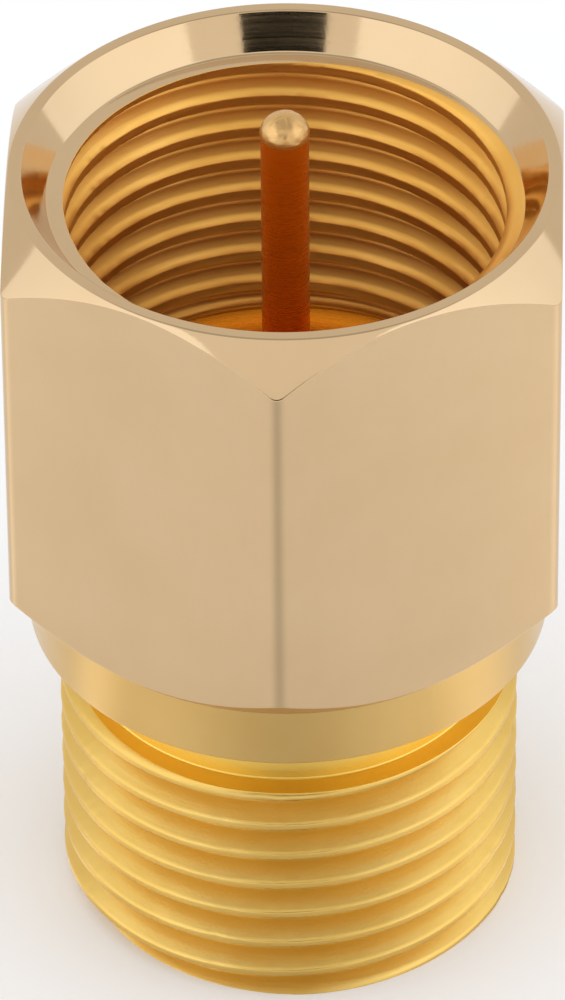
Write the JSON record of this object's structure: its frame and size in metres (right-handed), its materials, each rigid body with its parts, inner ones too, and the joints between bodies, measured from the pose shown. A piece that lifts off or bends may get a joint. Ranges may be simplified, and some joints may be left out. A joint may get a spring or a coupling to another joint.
{
  "type": "coaxial f adapter",
  "caption": "Gold-plated brass coaxial adapter: hexagonal screw-on F plug with a centre pin at one end, threaded F jack at the other.",
  "frame": {"origin": "centre of the jack's end face, the face that it stands on", "axes": "+Z along the turning axis from the jack towards the plug's centre pin; +X through the middle of one hexagon flat; +Y through a hexagon corner"},
  "size_m": [0.011, 0.0128, 0.0192],
  "materials": {
    "gold_plated_brass": "bright gold plating over turned brass",
    "pin_gold": "gold-plated brass pin, deeper orange tone",
    "contact_gold": "gold-plated phosphor bronze",
    "spring_steel": "bright spring steel band",
    "dielectric": "white PTFE-like plastic"
  },
  "bodies": {
    "root": {"shell": "gold_plated_brass", "centre_pin": "pin_gold", "socket_contact": "contact_gold", "contact_spring": "spring_steel", "rear_insulator": "dielectric", "front_insulator": "dielectric", "retaining_ring": "gold_plated_brass"}
  },
  "joints": []
}
